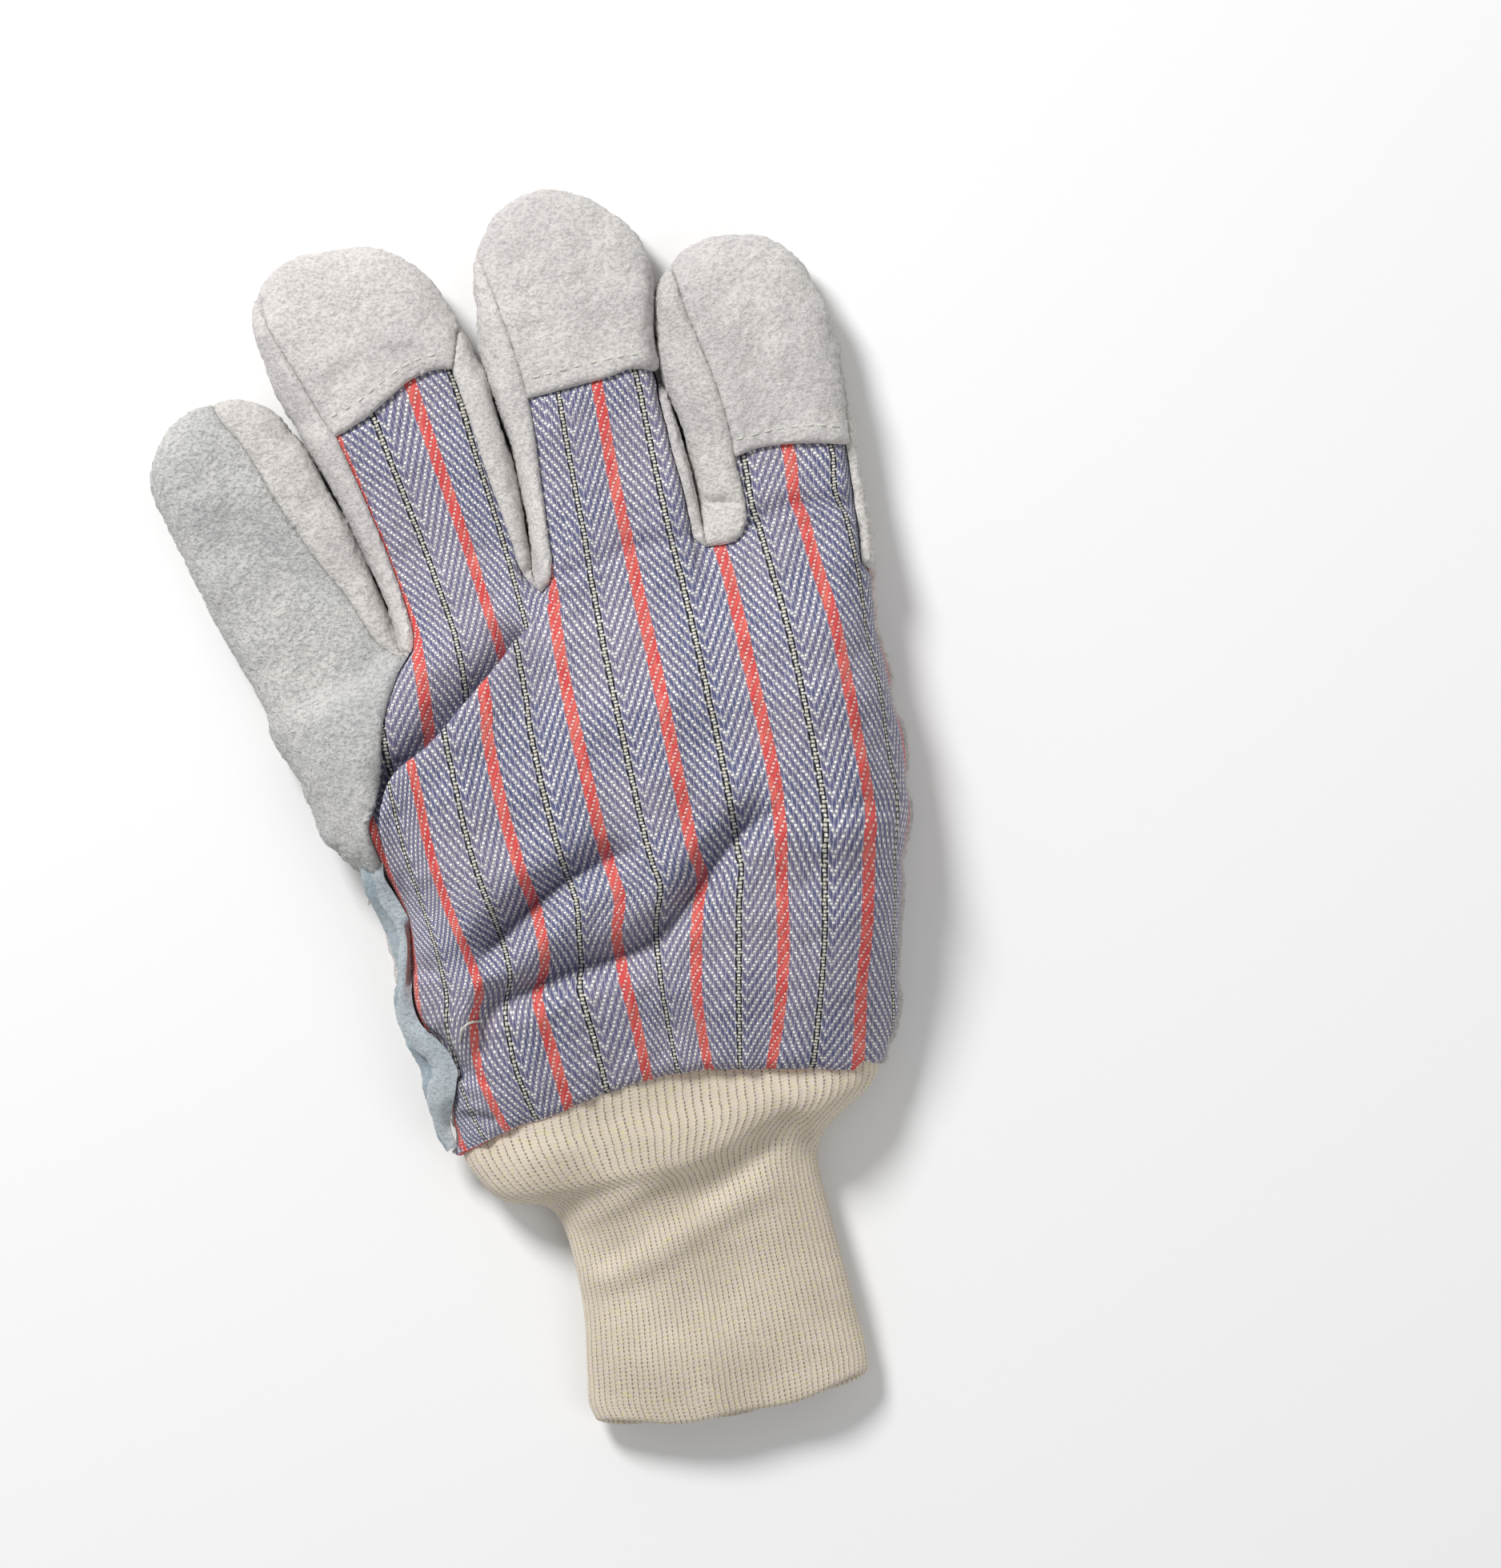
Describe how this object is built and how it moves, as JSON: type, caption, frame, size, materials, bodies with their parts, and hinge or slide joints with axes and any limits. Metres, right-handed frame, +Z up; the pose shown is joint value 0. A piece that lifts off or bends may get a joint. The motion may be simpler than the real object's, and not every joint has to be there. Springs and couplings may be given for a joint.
{
  "type": "leather palm work glove",
  "caption": "Right-hand work glove with a suede leather palm and fingers, striped cotton back, leather fingertip caps and a ribbed knit wrist, lying on its palm with the thumb folded under.",
  "frame": {"origin": "middle of the bounding box in plan, on the surface the glove lies on", "axes": "+Y from the wrist to the fingertips, +X towards the little finger, +Z up from the palm to the back of the hand"},
  "size_m": [0.1489, 0.2618, 0.0313],
  "materials": {
    "suede": "napped split leather",
    "striped_cotton": "woven herringbone cotton with stripes",
    "ribbed_knit": "ribbed cotton knit"
  },
  "bodies": {
    "root": {"palm_leather": "suede", "middle_front": "suede", "ring_front": "suede", "finger_base_welt": "suede", "index_back": "suede", "middle_cap": "suede", "ring_cap": "suede", "little_cap": "suede", "back_cloth": "striped_cotton", "thumb_front": "suede", "thumb_back": "suede", "side_hem": "suede", "knit_cuff": "ribbed_knit"}
  },
  "joints": []
}
